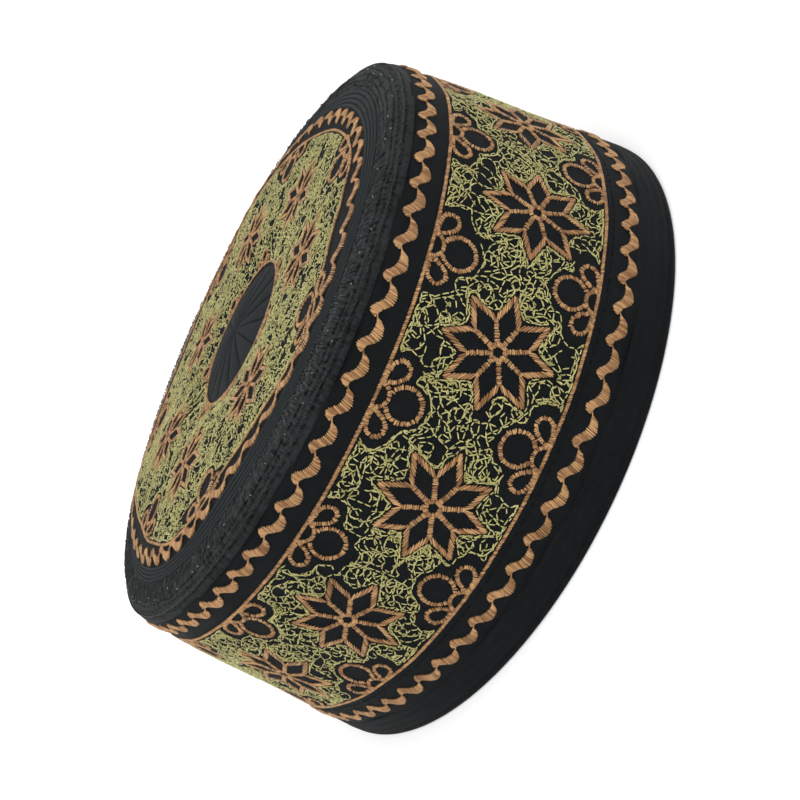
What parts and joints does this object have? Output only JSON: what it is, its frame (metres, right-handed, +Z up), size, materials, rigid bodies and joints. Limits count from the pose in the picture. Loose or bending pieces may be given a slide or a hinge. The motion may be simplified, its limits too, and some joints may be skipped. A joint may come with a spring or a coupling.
{
  "type": "kufi cap",
  "caption": "Stiff round kufi with a flat embroidered crown, a gathered shoulder seam, an embroidered side band and a folded hem, open below.",
  "frame": {"origin": "on the floor, under the middle of the rim", "axes": "+Z up through the crown, front of the head towards -Y, the cap longer along Y than along X"},
  "size_m": [0.1846, 0.199, 0.0762],
  "materials": {
    "embroidered_crown": "black quilted cloth under dense olive and copper thread",
    "seam_cloth": "gathered black cloth, overlocked in glossy black thread",
    "embroidered_band": "black cloth under olive and copper thread",
    "hem_cloth": "matt black cloth with rows of black topstitching",
    "copper_thread": "satin stitch in copper-coloured rayon thread",
    "olive_thread": "running stitch in pale olive rayon thread",
    "black_thread": "glossy black sewing thread"
  },
  "bodies": {
    "root": {"crown_top": "embroidered_crown", "crown_seam": "seam_cloth", "side_band": "embroidered_band", "rim_hem": "hem_cloth"}
  },
  "joints": []
}
